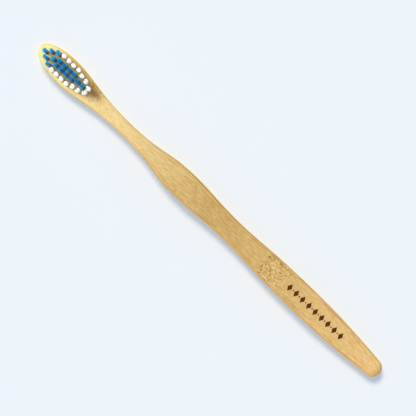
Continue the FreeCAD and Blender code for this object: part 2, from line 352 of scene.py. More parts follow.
# %% How far in from the outline
FELT_FROM, FELT_TO, FELT_STEP = -65.0, 90.0, 5.0     # mm along X
FELT_AT_HEIGHT = 2.5                                 # mm, where the side is upright
FULL_SCALE = 10.0                                    # mm of half width at the top of the curve

solid = BVHTree.FromPolygons([corner.co for corner in handle.data.vertices],
                             [face.vertices for face in handle.data.polygons])


def half_width(x):
    """Half the handle's width at X, in mm."""
    start = Vector((x, 2 * FULL_SCALE, FELT_AT_HEIGHT)) * MM
    return solid.ray_cast(start, Vector((0.0, -1.0, 0.0)))[0].y / MM


felt_count = round((FELT_TO - FELT_FROM) / FELT_STEP)
outline = add_node(tree, "ShaderNodeFloatCurve", {
    "Value": within((x_mm, FELT_FROM, FELT_TO), fade="LINEAR")})
felt_points = outline.mapping.curves[0].points
for number in range(felt_count + 1):
    share = number / felt_count
    felt = half_width(FELT_FROM + number * FELT_STEP) / FULL_SCALE
    if number in (0, felt_count):
        felt_points[0 if number == 0 else -1].location = (share, felt)
    else:
        felt_points.new(share, felt)
outline.mapping.update()
off_middle = add_node(tree, "ShaderNodeMath", {0: y_mm}, operation="ABSOLUTE")
outline_mm = add_node(tree, "ShaderNodeMath", {0: outline, 1: FULL_SCALE}, operation="MULTIPLY")
inward = add_node(tree, "ShaderNodeMath", {0: outline_mm, 1: off_middle}, operation="SUBTRACT")
print(f"half width {half_width(-15.0):.2f} mm at the thumb rest, felt at {felt_count + 1} places")

# %% Golden lines and a golden rim
LINE_LONG, LINE_APART = 15.0, 0.42         # mm
LINES_REACH, LINES_CLEAR = 3.2, 0.8        # mm in from the outline, where they end and are full
LINES_FROM, LINES_FULL = -66.0, -12.0      # mm along X, between which they grow to full strength
SIDE_STEP = 5.0                            # a jump in the noise, so that the sides' lines differ
EDGE_FROM, EDGE_FULL = -42.0, -20.0        # for the rim, mm along X
EDGE_WIDE, EDGE_CORE, EDGE_MOST = 1.0, 0.2, 0.45           # mm in from the outline, and a share
LINE_GOLD, LINE_LIGHT = linear("#A86F1C"), linear("#FFE2A0")
EDGE_GOLD = linear("#C48A2A")
LINE_GOLD_LIMITS, LINE_LIGHT_LIMITS = (0.52, 0.66, 0.54), (0.46, 0.32, 0.40)   # of the noise

line_side = add_node(tree, "ShaderNodeMath", {0: y_mm, 1: 0.0}, operation="GREATER_THAN")
line_from = add_node(tree, "ShaderNodeCombineXYZ", {0: x_mm, 1: inward, 2: line_side})
line_place = add_node(tree, "ShaderNodeVectorMath", {
    0: line_from, 1: (1 / LINE_LONG, 1 / LINE_APART, SIDE_STEP)}, operation="MULTIPLY")
lines = add_node(tree, "ShaderNodeTexNoise", {"Vector": line_place, "Scale": 1.0, "Detail": 1.0})
lines_here = within((inward, LINES_REACH, LINES_CLEAR), (x_mm, LINES_FROM, LINES_FULL))
lined = lay(streaked, LINE_GOLD, lines_here, (lines, *LINE_GOLD_LIMITS), fade="LINEAR")
lined = lay(lined, LINE_LIGHT, lines_here, (lines, *LINE_LIGHT_LIMITS), fade="LINEAR")
lined = lay(lined, EDGE_GOLD, (inward, EDGE_WIDE, EDGE_CORE, EDGE_MOST),
            (x_mm, EDGE_FROM, EDGE_FULL))
print(f"lines {LINE_APART} mm apart, up to {LINES_REACH} mm from the outline")

# %% [markdown]
# ## Bamboo: the knuckle
#
# Bamboo has a knuckle where a wall closes its hollow stem, and the fibres there turn, cross and
# branch. The strip was cut through one, a third of the way in from the handle's end. It shows
# as a few dark pores, the round scar of a side shoot with its broken rings, and then some ten
# millimetres of short broken dashes. Pores and scar are placed one by one, as distances from a
# point. Ping-Pong folds the distance from the scar's middle into rings, and noise makes them
# uneven. The dashes are a noise like that of the fibres, with a much shorter run.

# %% The knuckle's pores, scar and broken fibres
KNUCKLE_FROM, KNUCKLE_FULL, KNUCKLE_FADES, KNUCKLE_TO = 29.0, 31.5, 37.0, 48.0    # mm along X
KNUCKLE_PORES = ((30.3, 3.1, 0.36), (30.5, -1.4, 0.28), (32.6, 5.4, 0.32),
                 (31.4, -3.1, 0.31), (34.3, -0.8, 0.25), (33.6, 4.9, 0.22),
                 (32.7, 3.5, 0.21), (35.5, 4.0, 0.20), (31.6, -4.3, 0.24))   # X, Y, radius in mm
PORE_EDGE, PORE_CORE, PORE_MOST = 1.8, 0.6, 0.95        # shares of a pore's radius, and a share
SCAR_X, SCAR_Y = 31.9, 0.7
SCAR_RADIUS, SCAR_CORE = 1.9, 1.33
SCAR_YELLOW_MOST = 0.50
SCAR_RINGS_APART = 0.70
RING_EDGE, RING_CORE, RING_MOST = 0.22, 0.42, 0.85      # shares of the distance between rings
RING_BREAKS, RING_WHOLE = 0.30, 0.44       # values of the noise that break a ring or leave it
SCAR_WOBBLE = 2.4                          # mm by which a full step of the noise moves a ring
MOTTLE_LONG, MOTTLE_WIDE = 1.2, 0.48
KNUCKLE_BROWN, SCAR_BROWN, SCAR_YELLOW = linear("#744A00"), linear("#7C4E00"), linear("#F2D27C")
MOTTLE_BROWN, MOTTLE_LIGHT = linear("#A06E22"), linear("#FBE3A6")
MOTTLE_BROWN_LIMITS, MOTTLE_LIGHT_LIMITS = (0.49, 0.64, 0.72), (0.48, 0.32, 0.48)

flat_place = add_node(tree, "ShaderNodeCombineXYZ", {0: x_mm, 1: y_mm})
pores = 0.0
for pore_x, pore_y, radius in KNUCKLE_PORES:
    away = add_node(tree, "ShaderNodeVectorMath", {0: flat_place, 1: (pore_x, pore_y, 0.0)},
                    operation="DISTANCE")
    pore = within((away, radius * PORE_EDGE, radius * PORE_CORE, PORE_MOST))
    pores = add_node(tree, "ShaderNodeMath", {0: pores, 1: pore}, operation="MAXIMUM")

mottle = growth(MOTTLE_LONG, MOTTLE_WIDE)
scar_away = add_node(tree, "ShaderNodeVectorMath", {0: flat_place, 1: (SCAR_X, SCAR_Y, 0.0)},
                     operation="DISTANCE")
scar_uneven = add_node(tree, "ShaderNodeMath", {
    0: mottle, 1: SCAR_WOBBLE, 2: scar_away}, operation="MULTIPLY_ADD")
between_rings = add_node(tree, "ShaderNodeMath", {
    0: scar_uneven, 1: SCAR_RINGS_APART / 2}, operation="PINGPONG")
in_scar = within((scar_away, SCAR_RADIUS, SCAR_CORE))
rings = within((between_rings, SCAR_RINGS_APART * RING_EDGE, SCAR_RINGS_APART * RING_CORE,
                RING_MOST))

in_knuckle = within((x_mm, KNUCKLE_FROM, KNUCKLE_FULL), (x_mm, KNUCKLE_TO, KNUCKLE_FADES))
mottled = lay(lined, MOTTLE_BROWN, in_knuckle, (mottle, *MOTTLE_BROWN_LIMITS), fade="LINEAR")
mottled = lay(mottled, MOTTLE_LIGHT, in_knuckle, (mottle, *MOTTLE_LIGHT_LIMITS), fade="LINEAR")
mottled = lay(mottled, SCAR_YELLOW, in_scar, SCAR_YELLOW_MOST)
mottled = lay(mottled, SCAR_BROWN, rings, in_scar, (mottle, RING_BREAKS, RING_WHOLE),
              fade="LINEAR")
knuckled = lay(mottled, KNUCKLE_BROWN, pores)
print(f"{len(KNUCKLE_PORES)} pores and a scar at {SCAR_X} mm")

# %% [markdown]
# ## Bamboo: the painted shadow behind the tufts, and the edges
#
# Right behind the last tufts the neck is painted a darker brown in a soft patch: painted shadow
# that deepens the tufts' own cast shadow there. The knuckle's short noise carries its tone on in
# some places and holds it back in others.
#
# Where the edges are rounded, the sander cuts down through the strip's layers, so they show as
# fine lines that follow the outline. The rim is painted lemon at the head and gold from the neck on
# and along the head's +Y side: partly the yellower sanded wood, partly painted light that keeps the
# rounded rim as bright as the front. The layers are a noise squeezed to 0.3 mm in height: the flat
# front lies in one layer and shows none of it. The upright sides are a browner honey. The solid's
# own normal says how far a point has turned away from facing up: 1 on the front, 0 on the sides.

# %% Brown patch, layers and golden rim
# The brown patch is painted shadow behind the last tufts.
SHADOW_PATCH_X, SHADOW_PATCH_Y = -67.1, 1.9              # mm, the middle of the patch
SHADOW_PATCH_LONG, SHADOW_PATCH_WIDE = 6.8, 3.7          # mm, from the middle to where it ends
SHADOW_PATCH_CORE, SHADOW_PATCH_MOST = 0.1, 0.72         # a share of these sizes, and of the brown
SHADOW_PATCH_RAGGED = 1.5                         # how far the noise carries it on or holds it back
SHADOW_BROWN = linear("#A6660E")
LAYER_THICK, LAYER_LONG, LAYER_WIDE = 0.30, 40.0, 12.0
LAYER_OCHRE, LAYER_LIMITS = linear("#B57C24"), (0.45, 0.62, 0.50)
RIM_LEMON_LIGHT, RIM_GOLD_LIGHT = linear("#FFE668"), linear("#FFCF66")
RIM_DEEPENS_FROM, RIM_DEEPENS_TO = -64.0, -44.0        # mm along X, where lemon turns to gold
RIM_GOLD_FROM, RIM_GOLD_FULL = -2.0, 2.0   # mm along Y: beside the amber painted light it is gold anyway
RIM_STARTS, RIM_FULL, RIM_MOST = 0.96, 0.50, 0.70      # how much of the normal still points up
SIDE_HONEY = linear("#C9964A")
SIDE_STARTS, SIDE_FULL, SIDE_MOST = 0.50, 0.15, 0.85

shadow_patch_from = add_node(tree, "ShaderNodeVectorMath", {
    0: flat_place, 1: (SHADOW_PATCH_X, SHADOW_PATCH_Y, 0.0)}, operation="SUBTRACT")
shadow_patch_away = add_node(tree, "ShaderNodeVectorMath", {
    0: shadow_patch_from, 1: (1 / SHADOW_PATCH_LONG, 1 / SHADOW_PATCH_WIDE, 1.0)}, operation="MULTIPLY")
shadow_patch_away = add_node(tree, "ShaderNodeVectorMath", {0: shadow_patch_away}, operation="LENGTH")
shadow_patch_ragged = add_node(tree, "ShaderNodeMath", {
    0: mottle, 1: SHADOW_PATCH_RAGGED, 2: shadow_patch_away}, operation="MULTIPLY_ADD")
# painted shadow behind the last tufts, deepening the tufts' cast shadow
shadowed = lay(knuckled, SHADOW_BROWN, (
    shadow_patch_ragged, 1.0 + SHADOW_PATCH_RAGGED / 2, SHADOW_PATCH_CORE + SHADOW_PATCH_RAGGED / 2, SHADOW_PATCH_MOST))

normal_xyz = add_node(tree, "ShaderNodeSeparateXYZ", {0: coordinates.outputs["Normal"]})
facing = add_node(tree, "ShaderNodeMath", {0: normal_xyz.outputs[2]}, operation="ABSOLUTE")
rim = within((facing, RIM_STARTS, RIM_FULL))
layers = growth(LAYER_LONG, LAYER_WIDE, LAYER_THICK, Detail=1.0)
# the rim's colour: its yellower sanded wood and painted light
rim_tone_and_light = lay(RIM_LEMON_LIGHT, RIM_GOLD_LIGHT, (x_mm, RIM_DEEPENS_FROM, RIM_DEEPENS_TO))
rim_tone_and_light = lay(rim_tone_and_light, RIM_GOLD_LIGHT, (y_mm, RIM_GOLD_FROM, RIM_GOLD_FULL), fade="LINEAR")
# painted light on the rounded rim, over its yellower sanded wood
rimmed = lay(shadowed, rim_tone_and_light, rim, RIM_MOST)
rimmed = lay(rimmed, LAYER_OCHRE, rim, (layers, *LAYER_LIMITS), fade="LINEAR")
rimmed = lay(rimmed, SIDE_HONEY, (facing, SIDE_STARTS, SIDE_FULL, SIDE_MOST))
print(f"a stain at {SHADOW_PATCH_X} mm, layers of {LAYER_THICK} mm along the rim")

# %% [markdown]
# ## A burnt border on the grip
#
# A laser burns dark brown, slightly sunk patterns into wood like this. Here it is a plain
# traditional border, a row of upright lozenges with a dot between each two. A lozenge is where
# the distance along plus the distance across, each as a share of its half size, stays under
# one. Folding X back and forth with Ping-Pong repeats it down the row.

# %% Lozenges and dots
BORDER_FROM, BORDER_TO = 43.6, 74.0      # mm along X
LOZENGES = 9
LOZENGE_SHARE = 0.30                     # half a lozenge's width, as a share of the pitch
PITCH = (BORDER_TO - BORDER_FROM) / (LOZENGES - 1 + 2 * LOZENGE_SHARE)
LOZENGE_HALF_WIDE, LOZENGE_HALF_HIGH = LOZENGE_SHARE * PITCH, 1.70
DOT_RADIUS = 0.30
BURN_SOFT = 0.10                         # mm over which the burn fades out
FRONT_ABOVE = 3.0                        # mm, a height between the back and the front
BURNT = linear("#562A00")

from_first = add_node(tree, "ShaderNodeMath", {
    0: x_mm, 1: BORDER_FROM + LOZENGE_HALF_WIDE}, operation="SUBTRACT")
along_motif = add_node(tree, "ShaderNodeMath", {0: from_first, 1: PITCH / 2}, operation="PINGPONG")
across_motif = add_node(tree, "ShaderNodeMath", {0: y_mm}, operation="ABSOLUTE")
wide_share = add_node(tree, "ShaderNodeMath", {
    0: along_motif, 1: LOZENGE_HALF_WIDE}, operation="DIVIDE")
high_share = add_node(tree, "ShaderNodeMath", {
    0: across_motif, 1: LOZENGE_HALF_HIGH}, operation="DIVIDE")
lozenge_reach = add_node(tree, "ShaderNodeMath", {0: wide_share, 1: high_share}, operation="ADD")
soft_share = BURN_SOFT / LOZENGE_HALF_WIDE
lozenge = within((lozenge_reach, 1 + soft_share, 1 - soft_share))
from_dot = add_node(tree, "ShaderNodeMath", {0: PITCH / 2, 1: along_motif}, operation="SUBTRACT")
dot_place = add_node(tree, "ShaderNodeCombineXYZ", {0: from_dot, 1: across_motif})
dot_away = add_node(tree, "ShaderNodeVectorMath", {0: dot_place}, operation="LENGTH")
dot = within((dot_away, DOT_RADIUS + BURN_SOFT, DOT_RADIUS - BURN_SOFT))
motif = add_node(tree, "ShaderNodeMath", {0: lozenge, 1: dot}, operation="MAXIMUM")

after_start = add_node(tree, "ShaderNodeMath", {
    0: x_mm, 1: BORDER_FROM - BURN_SOFT}, operation="GREATER_THAN")
before_end = add_node(tree, "ShaderNodeMath", {
    0: x_mm, 1: BORDER_TO + BURN_SOFT}, operation="LESS_THAN")
on_front = add_node(tree, "ShaderNodeMath", {0: z_mm, 1: FRONT_ABOVE}, operation="GREATER_THAN")
burn = within(motif, after_start, before_end, on_front)
burnt = lay(rimmed, BURNT, burn)
print(f"{LOZENGES} lozenges, one every {PITCH:.2f} mm")

# %% [markdown]
# ## Bamboo: the surface
#
# Sanded and waxed bamboo is satin: it has a soft sheen and no mirror. Wood and wax both have
# an IOR close to 1.5. The fibres stand a hundredth of a millimetre proud and stay a little
# rough, while wax fills and smooths what lies between them, so one noise drives both the bump
# and the roughness. The burn sinks a tenth of a millimetre and is dull.

# %% Sheen, roughness and relief
WOOD_IOR = 1.50
WAX_SHINE = 0.20            # a thin worn wax mirrors less than a clean surface, which is 0.5
WAXED_AT, FIBRE_AT = 0.3, 0.7          # values of the noise between the fibres and on them
WAXED_ROUGH, FIBRE_ROUGH, BURN_ROUGH = 0.42, 0.58, 0.85
FIBRE_RELIEF = 0.015 * MM
BURN_DEPTH, BURN_RELIEF = 0.10 * MM, 0.6

polish = add_node(tree, "ShaderNodeMapRange", {
    "Value": fibres, "From Min": WAXED_AT, "From Max": FIBRE_AT,
    "To Min": WAXED_ROUGH, "To Max": FIBRE_ROUGH})
dulled = add_node(tree, "ShaderNodeMix", {"Factor": burn, "A": polish, "B": BURN_ROUGH})
fibre_bump = add_node(tree, "ShaderNodeBump", {
    "Height": fibres, "Distance": FIBRE_RELIEF, "Strength": 1.0})
burn_bump = add_node(tree, "ShaderNodeBump", {
    "Height": burn, "Distance": BURN_DEPTH, "Strength": BURN_RELIEF, "Normal": fibre_bump},
    invert=True)
finish_with(tree, {"Base Color": burnt, "Roughness": dulled, "Normal": burn_bump, "IOR": WOOD_IOR,
                   "Specular IOR Level": WAX_SHINE})
dress(handle, bamboo)
print(f"{bamboo.name}: {len(tree.nodes)} nodes")

# %% [markdown]
# ## Brass anchor wire
#
# Each tuft is folded round a bit of flat wire and driven into its hole. The wire is brass, drawn
# and rolled, then cut in the tufting machine. Between the filaments one sees only a glint of its
# upper edge. A metal has no colour but its reflection, so Metallic is 1 and the colour is that
# of polished brass; rolling leaves fine lines along the wire, drawn by a stretched noise.

# %% Rolled brass
BRASS = linear("#E3C67E")
BRASS_WORN = linear("#B08D4A")
ROLLING_APART = 0.05       # mm between rolling lines
ROLLING_LONG = 1.2
BRASS_POLISHED, BRASS_ROUGH = 0.22, 0.42

brass, tree = new_material("brass_wire_rolled_flat")
coordinates = add_node(tree, "ShaderNodeTexCoord")
line_place = add_node(tree, "ShaderNodeMapping", {
    "Vector": coordinates.outputs["Object"],
    "Scale": (MM_PER_METRE / ROLLING_LONG, MM_PER_METRE / ROLLING_LONG,
              MM_PER_METRE / ROLLING_APART)})
rolling = add_node(tree, "ShaderNodeTexNoise", {"Vector": line_place, "Scale": 1.0, "Detail": 2.0})
brass_colour = lay(BRASS, BRASS_WORN, rolling)
brass_roughness = add_node(tree, "ShaderNodeMapRange", {
    "Value": rolling, "To Min": BRASS_POLISHED, "To Max": BRASS_ROUGH})
finish_with(tree, {"Base Color": brass_colour, "Roughness": brass_roughness, "Metallic": 1.0})
for name in anchor_names:
    dress(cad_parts[name], brass)
print(f"{brass.name} on {len(anchor_names)} rows of anchors")

# %% [markdown]
# ## Nylon filaments
#
# Bristles are nylon, drawn through a die and so smooth, with a soft shine along each filament
# (IOR 1.53). The tips are ground round. Below them the colour is painted darker towards the hole:
# painted shade for the dark between the filaments, so a tuft is brightest at its tips. Subsurface
# light softens each filament. No two take dye alike, and Random Per Island gives each its own shade
# with no work on the mesh. Dyed nylon shines less than clear, which keeps the blue pure: a shine
# would grey it with the room's white.

# %% Blue and white nylon
NYLON_IOR = 1.53
NYLON_ROUGHNESS, ROUGHNESS_RANGE = 0.32, 0.06
SCATTER, SCATTER_SHARE = 0.30 * MM, 0.3
CLOUD, CLOUD_SHARE = 0.6, 0.35         # mm, and how far clouds shift each filament's own shade
SHANK_BELOW, TIP_ABOVE = 7.2, 11.2     # mm, heights over which the painted shade of the shank gives way to the tip's colour


def nylon(name, shank_shade, darkest, lightest, shine):
    """Drawn nylon with tips between two shades, over a shank painted in shade. A clean surface has
    a shine of 0.5.
    """
    material, tree = new_material(name)
    each = add_node(tree, "ShaderNodeNewGeometry").outputs["Random Per Island"]
    coordinates = add_node(tree, "ShaderNodeTexCoord")
    cloud_place = add_node(tree, "ShaderNodeMapping", {
        "Vector": coordinates.outputs["Object"], "Scale": (MM_PER_METRE / CLOUD,) * 3})
    clouds = add_node(tree, "ShaderNodeTexNoise", {
        "Vector": cloud_place, "Scale": 1.0, "Detail": 1.0})
    varied = add_node(tree, "ShaderNodeMix", {"Factor": CLOUD_SHARE, "A": each, "B": clouds})
    tip_colour = add_node(tree, "ShaderNodeMix", {
        "Factor": varied, "A": linear(darkest), "B": linear(lightest)}, data_type="RGBA")
    height = add_node(tree, "ShaderNodeSeparateXYZ", {0: coordinates.outputs["Object"]}).outputs[2]
    near_tip = add_node(tree, "ShaderNodeMapRange", {
        "Value": height, "From Min": SHANK_BELOW * MM, "From Max": TIP_ABOVE * MM},
        interpolation_type="SMOOTHSTEP")
    colour = add_node(tree, "ShaderNodeMix", {
        "Factor": near_tip, "A": linear(shank_shade), "B": tip_colour}, data_type="RGBA")
    roughness = add_node(tree, "ShaderNodeMapRange", {
        "Value": clouds, "To Min": NYLON_ROUGHNESS - ROUGHNESS_RANGE,
        "To Max": NYLON_ROUGHNESS + ROUGHNESS_RANGE})
    finish_with(tree, {"Base Color": colour, "Roughness": roughness, "IOR": NYLON_IOR,
                       "Specular IOR Level": shine, "Subsurface Weight": SCATTER_SHARE,
                       "Subsurface Radius": (1.0, 1.0, 1.0), "Subsurface Scale": SCATTER})
    return material


LIT_ROWS = (1, 2, 3)       # painted light: the blue tufts at the head's end get a lighter blue
DYED_SHINE, CLEAR_SHINE = 0.1, 0.5
nylon_of = {
    # The first colour of each is its shank's, painted darker towards the hole: painted shade.
    "blue": nylon("nylon_filament_dyed_blue", "#149CD4", "#009BE0", "#14B6F6", DYED_SHINE),
    "lit_blue": nylon("nylon_filament_blue_painted_lit", "#1888C0", "#14BEFF", "#46D6FF",
                       DYED_SHINE),
    "white": nylon("nylon_filament_natural_white", "#A69E8C", "#FAFAF7", "#FFFFFF", CLEAR_SHINE),
}
print("nylon:", ", ".join(material.name for material in nylon_of.values()))

# %% [markdown]
# ## How a tuft is folded
#
# A tufting machine takes a bundle of cut filaments, lays the flat wire across its middle, and
# rams both into the hole, so every filament is folded in half and shows two ends. They pack
# like coins on a table, in rows side by side with the wire. The places are worked out once, on
# one side of the wire, and each stands for one folded filament.

# %% Places of the filaments in a hole
FILAMENT = 0.20             # mm, a medium bristle
SPACING = 0.200             # mm between neighbours in the hole
TUFT_ROOT = 0.81            # mm, radius of the bundle in its hole
FACE_AT = 5.0               # mm, height of the head's face


def filament_places():
    """(across, along) the wire, in mm, for one end of each folded filament."""
    reach = TUFT_ROOT - FILAMENT / 2
    row_step = SPACING * math.sqrt(3) / 2
    places = []
    for row in range(math.floor(reach / row_step + 0.5)):
        across = (row + 0.5) * row_step
        half_row = math.sqrt(reach ** 2 - across ** 2)
        first = SPACING / 2 if row % 2 == 0 else 0.0
        steps = math.floor((half_row - first) / SPACING)
        beside = [first + step * SPACING for step in range(steps + 1)]
        places += [(across, along) for along in beside]
        places += [(across, -along) for along in beside if along > 0]
    return places


print(f"{len(filament_places())} folded filaments, {2 * len(filament_places())} ends in a tuft")

# %% [markdown]
# ## The line of one filament
#
# One filament goes down from its tip, past the wire, round under it and up to its other tip.
# In the hole it is held, so it moves only from just under the face up: the bundle opens a
# little like a bunch of flowers, filaments gather in a few locks that leave gaps between them,
# and each has a small lean of its own. All of that grows from nothing down there to its full
# size at the tip, as in a bent rod. The tips are cut level and then rounded.

# %% Follow one filament
WIRE_FOOT, WIRE_TOP = 2.6, 3.9        # mm, heights of the wire's edges
WIRE_HALF = 0.15                      # mm, half the wire's thickness
WIRE_CLEAR = WIRE_HALF + FILAMENT / 2     # mm off its middle, where a filament would touch it
WIRE_TURN = math.radians(20.0)        # away from straight across the handle
HELD_REACH = 0.64                     # mm, furthest from the wire where the bundle is squeezed
FREE_BELOW = 0.3                      # mm under the face, where a filament is free to move
BEND_POWER = 1.6                      # how the bend gathers towards the tip
FOLD_DEEPER = 0.5                     # how much deeper the outer filaments fold
SHANK_STEPS = 9
FOLD_STEPS = 5
ROUNDED_END = ((0.03, 0.70), (0.18, 0.92), (0.5, 1.0))    # (how far back, how wide) in radii


def held_across(across):
    """How far from the wire's middle a filament is squeezed where it passes the wire."""
    furthest = TUFT_ROOT - FILAMENT / 2
    return WIRE_CLEAR + across * (HELD_REACH - WIRE_CLEAR) / furthest


def standing_end(side, across, along, tip_move, tip_height):
    """Points of one end, from the wire's foot to the tip, as (across, along, height)."""
    held = side * held_across(across)
    points = [(held, along, WIRE_FOOT), (held, along, WIRE_TOP)]
    free_from = FACE_AT - FREE_BELOW
    for step in range(SHANK_STEPS + 1):
        share = step / SHANK_STEPS
        bend = share ** BEND_POWER
        points.append((side * across + tip_move[0] * bend, along + tip_move[1] * bend,
                       free_from + share * (tip_height - free_from)))
    return points


def fold_under(across, along):
    """Points of the fold below the wire, from one side to the other."""
    wide = held_across(across)
    deep = FILAMENT / 2 + FOLD_DEEPER * across
    turns = [math.pi * step / FOLD_STEPS for step in range(1, FOLD_STEPS)]
    return [(wide * math.cos(turn), along, WIRE_FOOT - deep * math.sin(turn)) for turn in turns]


def filament_line(across, along, moves, heights):
    """The whole line from tip to tip. moves and heights are those of its two tips."""
    down = standing_end(1, across, along, moves[0], heights[0])[::-1]
    up = standing_end(-1, across, along, moves[1], heights[1])
    return [Vector(point) for point in down + fold_under(across, along) + up]


straight = filament_line(TUFT_ROOT / 2, 0.0, ((0.0, 0.0),) * 2, (cad_box[1].z / MM,) * 2)
print(f"{len(straight)} points, the lowest {min(point.z for point in straight):.2f} mm up")


# %% [markdown]
# ## From lines to round filaments
#
# A curve with a bevel would round every line at once, but here a short loop lays the rings
# itself, because the ends have to be rounded and the rings few. Each ring is six points round
# the line, turned from one ring to the next by no more than the line turns, so the tube never
# twists. Six sides are enough for something 0.2 mm thick, and smooth shading does the rest.

# %% Skin one filament
SIDES = 6


def rounded_stations(line):
    """(point, radius) along the line, with the extra stations that round both ends."""
    radius = FILAMENT / 2

    def end(tip, before):
        back = (before - tip).normalized()
        return [(tip + back * (radius * away), radius * wide) for away, wide in ROUNDED_END]

    first, last = end(line[0], line[1]), end(line[-1], line[-2])
    return first + [(point, radius) for point in line[1:-1]] + last[::-1]


def skin_filament(mesh, line, place):
    """Adds one filament to the bmesh. place turns a point of the line into a point of the brush."""
    stations = rounded_stations(line)
    points = [point for point, _ in stations]
    sideways = Vector((0.0, 1.0, 0.0))
    rings = []
    for number, (point, radius) in enumerate(stations):
        ahead = points[min(number + 1, len(points) - 1)] - points[max(number - 1, 0)]
        ahead.normalize()
        sideways = (sideways - ahead * sideways.dot(ahead)).normalized()
        upwards = ahead.cross(sideways)
        ring = []
        for side in range(SIDES):
            turn = 2 * math.pi * side / SIDES
            corner = point + (sideways * math.cos(turn) + upwards * math.sin(turn)) * radius
            ring.append(mesh.verts.new(place(corner)))
        rings.append(ring)
    for ring, following in zip(rings, rings[1:]):
        for side in range(SIDES):
            after = (side + 1) % SIDES
            mesh.faces.new((ring[side], ring[after], following[after], following[side]))
    mesh.faces.new(rings[0][::-1])
    mesh.faces.new(rings[-1])


print(f"{len(rounded_stations(straight))} rings of {SIDES} points round one filament")


# %% [markdown]
# ## Thirty tufts, no two alike
#
# A machine sets every tuft the same way, but they don't stay so: each leans a trifle, opens a
# little along one line, and gathers in two to four locks. The white ones nearest the neck open
# the most, like small crowns. Each tuft draws its own numbers from a seed that is its place in
# the list, so the brush is the same every time it is made.

# %% How far the tips go
TIP_SPREAD = 1.08           # the bundle's radius at the tips, as a share of its radius in the hole
LEAN = 0.12                 # mm, most that a whole tuft leans at the tips, each way
FAN_LEAST, FAN_MOST = 0.068, 0.34          # how far a tuft opens along one line, in its radii
STRAY = 0.025               # mm, of one filament
TRIM = 0.05                 # mm, unevenness of the cut
LOCKS = (2, 4)              # fewest and most locks in a tuft
LOCK_OUT = 0.55             # how far out a lock has its middle, as a share of the bundle's radius
LOCK_JITTER = 0.18          # most that a lock is out of its even place round the tuft, as a share
GATHER = {"blue": 0.12, "white": 0.16}     # how far filaments close up to the middle of their lock
OPENING = 0.03              # mm that the locks stand out
OPEN_ROWS = {8: 0.08, 9: 0.14, 10: 0.18}   # the same for the white tufts in the rows by the neck


def tip_of(spot, locks, gather, opening, fan):
    """Where a filament that stands at a spot in the hole has moved to at its tip."""
    lock = min(locks, key=lambda place: (place - spot).length)
    tip = spot * TIP_SPREAD + fan * spot.dot(fan) / fan.length
    tip += (lock * TIP_SPREAD - tip) * gather
    return tip + lock.normalized() * opening


print(f"tufts open by {FAN_LEAST} to {FAN_MOST} radii, in {LOCKS[0]} to {LOCKS[1]} locks")

# %% Make the bundles


def tuft_bundle(name, chance):
    """One tuft's filaments as a new object, in place of the plain solid of that name."""
    colour, _, row, _ = name.split("_", 3)
    low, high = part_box(name)
    middle = (low + high) / 2
    opening = OPEN_ROWS.get(int(row), OPENING) if colour == "white" else OPENING
    lean = Vector((chance.uniform(-LEAN, LEAN), chance.uniform(-LEAN, LEAN)))
    fan_turn = chance.uniform(0, math.pi)
    fan = Vector((math.cos(fan_turn), math.sin(fan_turn))) * chance.uniform(FAN_LEAST, FAN_MOST)
    count = chance.randint(*LOCKS)
    first_turn = chance.uniform(0, 2 * math.pi)
    locks = []
    for number in range(count):
        jitter = chance.uniform(-LOCK_JITTER, LOCK_JITTER)
        turn = first_turn + 2 * math.pi * (number + jitter) / count
        locks.append(Vector((math.cos(turn), math.sin(turn))) * (LOCK_OUT * TUFT_ROOT))

    def place(point):
        """From the tuft's own (across, along, height) in mm to the brush's frame in metres."""
        x = point.x * math.cos(WIRE_TURN) - point.y * math.sin(WIRE_TURN)
        y = point.x * math.sin(WIRE_TURN) + point.y * math.cos(WIRE_TURN)
        return Vector((middle.x + x * MM, middle.y + y * MM, point.z * MM))

    mesh = bmesh.new()
    for across, along in filament_places():
        moves, heights = [], []
        for side in (1, -1):
            spot = Vector((side * across, along))
            tip = tip_of(spot, locks, GATHER[colour], opening, fan) + lean
            tip += Vector((chance.gauss(0, STRAY), chance.gauss(0, STRAY)))
            moves.append(tip - spot)
            heights.append(high.z / MM - abs(chance.gauss(0, TRIM)))
        skin_filament(mesh, filament_line(across, along, moves, heights), place)
    data = bpy.data.meshes.new("bristles_" + name)
    mesh.to_mesh(data)
    mesh.free()
    data.polygons.foreach_set("use_smooth", [True] * len(data.polygons))
    piece = bpy.data.objects.new("bristles_" + name, data)
    bpy.context.scene.collection.objects.link(piece)
    # The blue tufts at the head's end get the lighter blue: painted light.
    lit_row = colour == "blue" and int(row) in LIT_ROWS
    dress(piece, nylon_of["lit_blue" if lit_row else colour])
    return piece


faces = 0
for number, name in enumerate(tuft_names):
    bundle = tuft_bundle(name, random.Random(number))
    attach(bundle, "root")
    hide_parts(name)
    faces += len(bundle.data.polygons)
print(f"{len(tuft_names)} bundles, {faces} faces")

# %% [markdown]
# ## The table
#
# A matt pale sheet under the brush, large enough to reach the horizon from any side. Its colour
# is the background's own, a cold white, with a tooth so fine that it only shows close up. It
# lies a hair under the brush's back, so the two faces don't share one plane.

# %% Lay the table
TABLE_WHITE = linear("#EEF5FB")
TABLE_HALF = 4.0                 # metres
TABLE_DROP = 0.02 * MM
TOOTH, TOOTH_DEEP = 0.4, 0.002 * MM      # mm across, metres deep
TOOTH_STRENGTH = 0.2

sheet, tree = new_material("painted_board_matt")
coordinates = add_node(tree, "ShaderNodeTexCoord")
tooth_place = add_node(tree, "ShaderNodeMapping", {
    "Vector": coordinates.outputs["Object"], "Scale": (MM_PER_METRE / TOOTH,) * 3})
tooth = add_node(tree, "ShaderNodeTexNoise", {"Vector": tooth_place, "Scale": 1.0})
tooth_bump = add_node(tree, "ShaderNodeBump", {
    "Height": tooth, "Distance": TOOTH_DEEP, "Strength": TOOTH_STRENGTH})
finish_with(tree, {"Base Color": TABLE_WHITE, "Roughness": 0.9, "Specular IOR Level": 0.0,
                   "Normal": tooth_bump})

